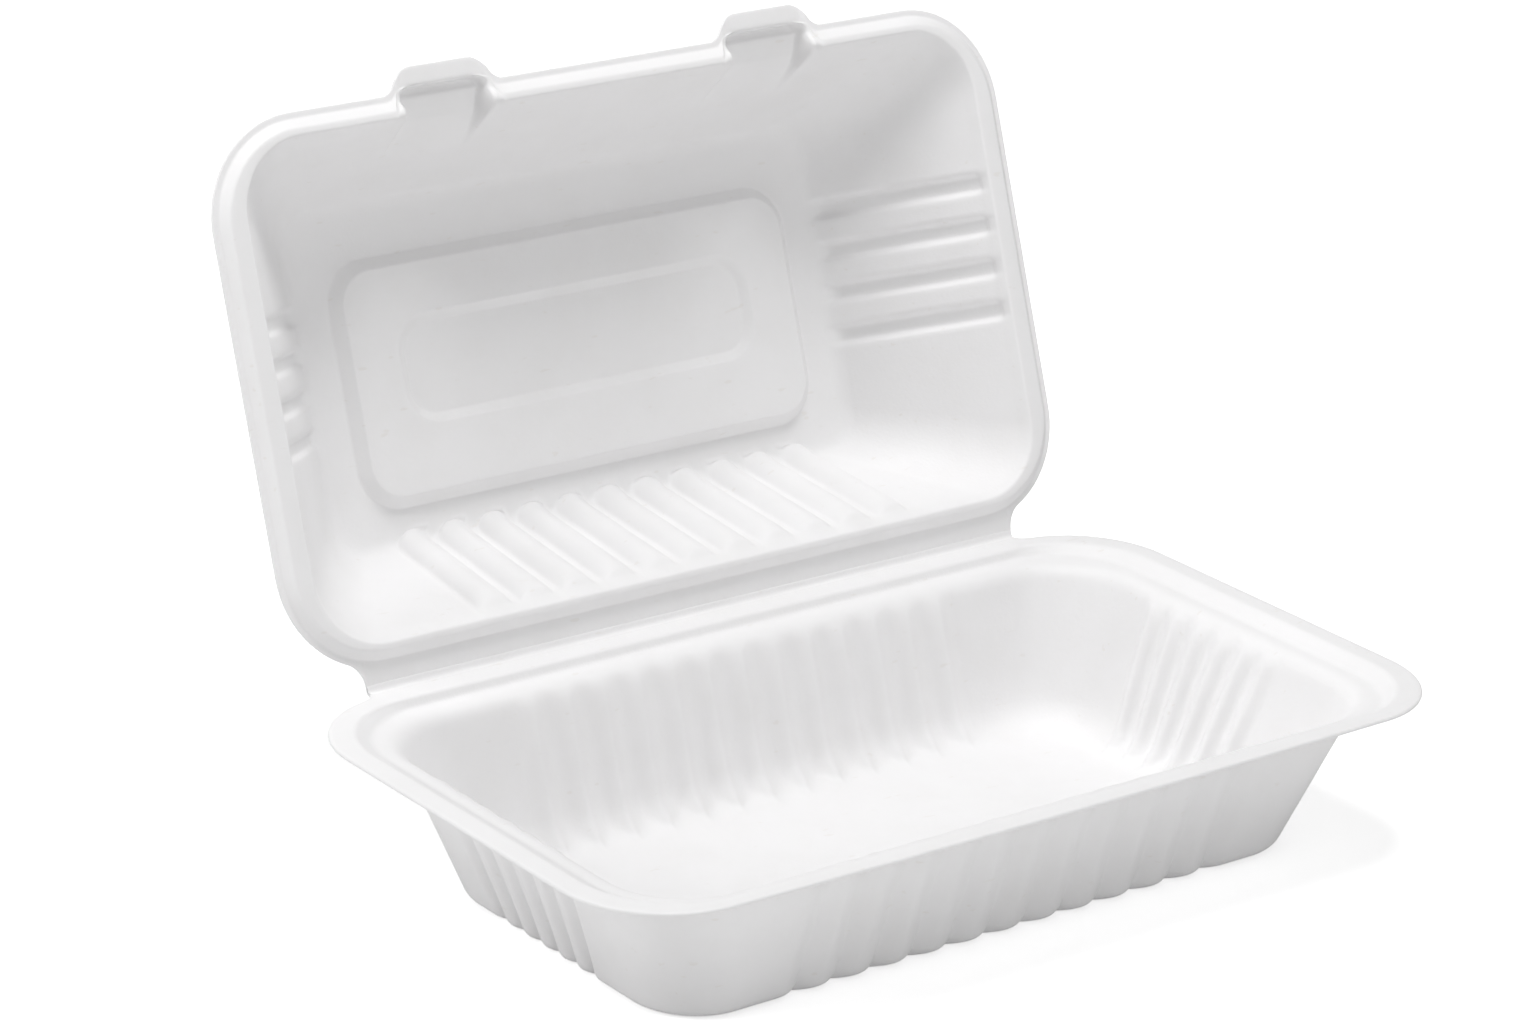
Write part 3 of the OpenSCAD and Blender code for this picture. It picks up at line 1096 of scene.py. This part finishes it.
    def shape_tabs(
        self, grid: np.ndarray, stations: Stations, section: np.ndarray, thick: float
    ) -> None:
        """Presses the channels through the bead and draws the tabs out of the lip.

        Args:
            grid: Loops of one face, changed in place.
            stations: Stations of the loops.
            section: Section of the long walls.
            thick: How far this face lies behind the inside.
        """
        side, place, _ = stations.arrays()
        off = np.where(lies_on(side, Side.FRONT), np.abs(np.abs(place) - self.tab_x), FAR)
        half = self.width / 2
        inset = half - section[:, 0]
        rim = np.where(inset < 13.5)[0]
        span = np.arange(len(rim)) / (len(rim) - 1)
        away = (inset[rim[0]], *self.COURSE_IN, self.thick / 2 - self.tab_reach)
        rise = (section[rim[0], 1], *self.COURSE_UP)
        wing = np.interp(off, self.WING_OFF, self.WING)
        near = off < 17.0
        spaced = soft_step(1.0 - (off - 12.2) / 2.6)
        for index, s in zip(rim, span):
            deep = float(np.interp(s, self.COURSE, away))
            here = inset[index] * (1 - spaced) + (deep if deep > 0.0 else deep * wing) * spaced
            turned = float(np.clip((1.5 - deep) / 2.85, 0.0, 1.0)) if deep > -1.35 else 0.0
            reach = self.channel - 2.6 * (1.0 - math.sqrt(1.0 - turned ** 2))
            pocket = soft_step(1.0 - (off - (reach - 0.6)) / 1.2)
            plain = np.interp(here, inset[::-1], section[::-1, 1])
            level = plain * (1 - pocket) + float(np.interp(s, self.COURSE, rise)) * pocket
            lip = float(np.interp(inset[index], [0.4, 1.5, 3.0], [1.0, 0.35, 0.0]))
            out = wing * self.tab_reach * lip * (1 - spaced)
            back = thick * np.where(pocket > 0.5, max(0.0, 0.8 - 2.2 * s), 0.0)
            moved = -half + here - out - back
            kept = grid[index, :, 1] - out
            grid[index, :, 1] = np.where(near, moved * spaced + kept * (1 - spaced), kept)
            level = (level + thick) * spaced + grid[index, :, 2] * (1 - spaced)
            grid[index, :, 2] = np.where(near, level, grid[index, :, 2])

    def run_out(self, grid: np.ndarray, stations: Stations) -> None:
        """Draws the rear edge out to the fold.

        Args:
            grid: Loops of one face, changed in place.
            stations: Stations of the loops.
        """
        reach = self.strip.lid_reach - self.strip.gap + self.thick / 2 - 0.1
        out = self.strip.rise(stations, grid[-1, :, 0], reach, self.strip.lid_round)
        for loop, part in enumerate((1.0, 0.12), 1):
            grid[-loop, :, 1] += out * part
        grid[-2, :, 2] += np.where(out > 3.0, 0.3, 0.0)


@dataclass
class Fold:
    """The thin band of fibre that bends between tray and lid."""

    strip: Strip = field(default_factory=Strip)

    # front and back of the band: y and z from the fold, then up along the lid and behind it
    FRONT_TRAY = ((-1.6, -0.1), (-1.3, 0.02), (-0.7, 0.02), (-0.3, -0.05), (0.05, -0.02))
    FRONT_LID = ((0.5, -0.02), (1.0, -0.02), (1.4, -0.02), (1.7, 0.1))
    BACK_TRAY = ((-1.6, -0.7), (-1.3, -0.85), (-0.7, -0.85), (-0.1, -0.85), (0.75, -0.55))
    BACK_LID = ((0.2, 0.75), (1.0, 0.65), (1.4, 0.62), (1.7, 0.5))

    def build(self) -> bpy.types.Object:
        """Builds the band.

        Returns:
            The fold's piece.
        """
        turn = math.radians(self.strip.open_angle)
        up = np.array([-math.cos(turn), math.sin(turn)])
        deep = np.array([math.sin(turn), math.cos(turn)])
        base = np.array(self.strip.line)
        lid_face = base + deep * self.strip.gap
        front, back = (
            [base + spot for spot in tray] + [lid_face + up * high + deep * away for high, away in lid]
            for tray, lid in ((self.FRONT_TRAY, self.FRONT_LID), (self.BACK_TRAY, self.BACK_LID))
        )
        loop = np.array(front + back[::-1])
        ends = self.strip.half + np.array([0.0, 0.1])
        xs = np.concatenate([-ends[::-1], np.linspace(-90.0, 90.0, 61), ends])
        middle = loop.mean(0)
        points, faces = [], []
        for i, x in enumerate(xs):
            shrunk = 0.9 if i in (0, len(xs) - 1) else 1.0
            for y, z in middle + (loop - middle) * shrunk:
                points.append((x * MM, y * MM, z * MM))
        count = len(loop)
        for i in range(len(xs) - 1):
            for k in range(count):
                nxt = (k + 1) % count
                faces.append((i * count + k, i * count + nxt, (i + 1) * count + nxt, (i + 1) * count + k))
        faces.append(tuple(range(count)))
        faces.append(tuple((len(xs) - 1) * count + k for k in reversed(range(count))))
        return mesh_object("fold_fibre", points, faces)


@dataclass(frozen=True)
class Lamp:
    """One soft lamp: place and aim in metres, width of its face, and watts."""

    name: str
    place: tuple[float, float, float]
    aim: tuple[float, float, float]
    size: float
    power: float

    def hang(self) -> None:
        """Adds the lamp to the scene."""
        data = bpy.data.lights.new(self.name, "AREA")
        data.shape = "DISK"
        data.size = self.size
        data.energy = self.power
        lamp = bpy.data.objects.new(self.name, data)
        bpy.context.collection.objects.link(lamp)
        spot, target = np.array(self.place), np.array(self.aim)
        back = (spot - target) / np.linalg.norm(spot - target)
        steep = abs(back[2]) >= STEEP
        right = np.array((1.0, 0.0, 0.0)) if steep else np.cross((0.0, 0.0, 1.0), back)
        right /= np.linalg.norm(right)
        up = np.cross(back, right)
        rows = [[right[i], up[i], back[i], spot[i]] for i in range(3)]
        lamp.matrix_world = Matrix(rows + [[0, 0, 0, 1]])


@dataclass
class Studio:
    """Floor, lamps, world and the camera at the photograph's angle."""

    LAMPS = (
        Lamp("overhead", (0.02, 0.0, 1.1), (0.0, 0.04, 0.05), 0.5, 7.0),
        Lamp("left_back", (-1.2, 0.35, 0.6), (0.0, 0.05, 0.05), 0.6, 6.2),
        Lamp("front", (0.3, -1.25, 0.75), (0.0, 0.05, 0.05), 0.4, 3.0),
        Lamp("front_low", (-0.3, -1.4, 0.12), (0.0, 0.05, 0.05), 0.4, 2.2),
        Lamp("back", (0.35, 1.3, 0.5), (0.0, 0.1, 0.1), 0.9, 2.5),
    )

    camera_mm: tuple[float, float, float] = (-677.05, -817.28, 480.0)
    turn: tuple[float, float, float] = (69.4201, -2.1751, -37.3319)
    lens: float = 122.8
    floor_half: float = 6.0
    floor_z: float = -0.0001
    world_even: float = 0.22
    world_seen: float = 0.78

    def floor(self) -> None:
        """Lays the floor that the box stands on."""
        far, low = self.floor_half, self.floor_z
        spots = [(-far, -far, low), (far, -far, low), (far, far, low), (-far, far, low)]
        floor = mesh_object("floor", spots, [(0, 1, 2, 3)], smooth=False)
        floor.data.materials.append(PaleFloor().build())

    def world(self) -> None:
        """White to the camera, soft and even to the object."""
        world = bpy.data.worlds.new("studio")
        bpy.context.scene.world = world
        world.use_nodes = True
        graph = Graph(world.node_tree)
        seen = graph.node("ShaderNodeLightPath", {}, {}, "Is Camera Ray")
        strength = seen * self.world_seen + self.world_even
        graph.node("ShaderNodeOutputWorld", {}, {"Surface": graph.node(
            "ShaderNodeBackground", {}, {"Color": (1.0, 1.0, 1.0, 1.0), "Strength": strength})})

    def camera(self) -> None:
        """Sets the camera where the photograph was taken from."""
        data = bpy.data.cameras.new("camera")
        data.lens = self.lens
        data.sensor_width = 36.0
        data.clip_start = 0.05
        data.clip_end = 30.0
        camera = bpy.data.objects.new("camera", data)
        bpy.context.collection.objects.link(camera)
        camera.location = [c * MM for c in self.camera_mm]
        camera.rotation_euler = [math.radians(t) for t in self.turn]
        bpy.context.scene.camera = camera

    def build(self) -> None:
        """Sets the whole stage."""
        bpy.context.scene.view_settings.view_transform = "Standard"
        self.floor()
        self.world()
        for lamp in self.LAMPS:
            lamp.hang()
        self.camera()


def main() -> None:
    """Builds the box and its stage and reports each piece."""
    logging.basicConfig(level=logging.INFO)
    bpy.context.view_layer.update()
    finishes = {
        "tray_fibre": MouldedFibre("fibre_tray").build(),
        "lid_fibre": MouldedFibre("fibre_lid").build(),
    }
    tray, lid, fold = Tray().build(), Lid().build(), Fold().build()
    for piece, slot in ((tray, "tray_fibre"), (lid, "lid_fibre"), (fold, "tray_fibre")):
        piece.data.materials.append(finishes[slot])
        LOG.info("%s: %d faces", piece.name, len(piece.data.polygons))
    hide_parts("tray")
    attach(tray, "tray")
    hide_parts("lid")
    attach(lid, "lid")
    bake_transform(fold)
    Studio().build()


if __name__ == "__main__":
    main()
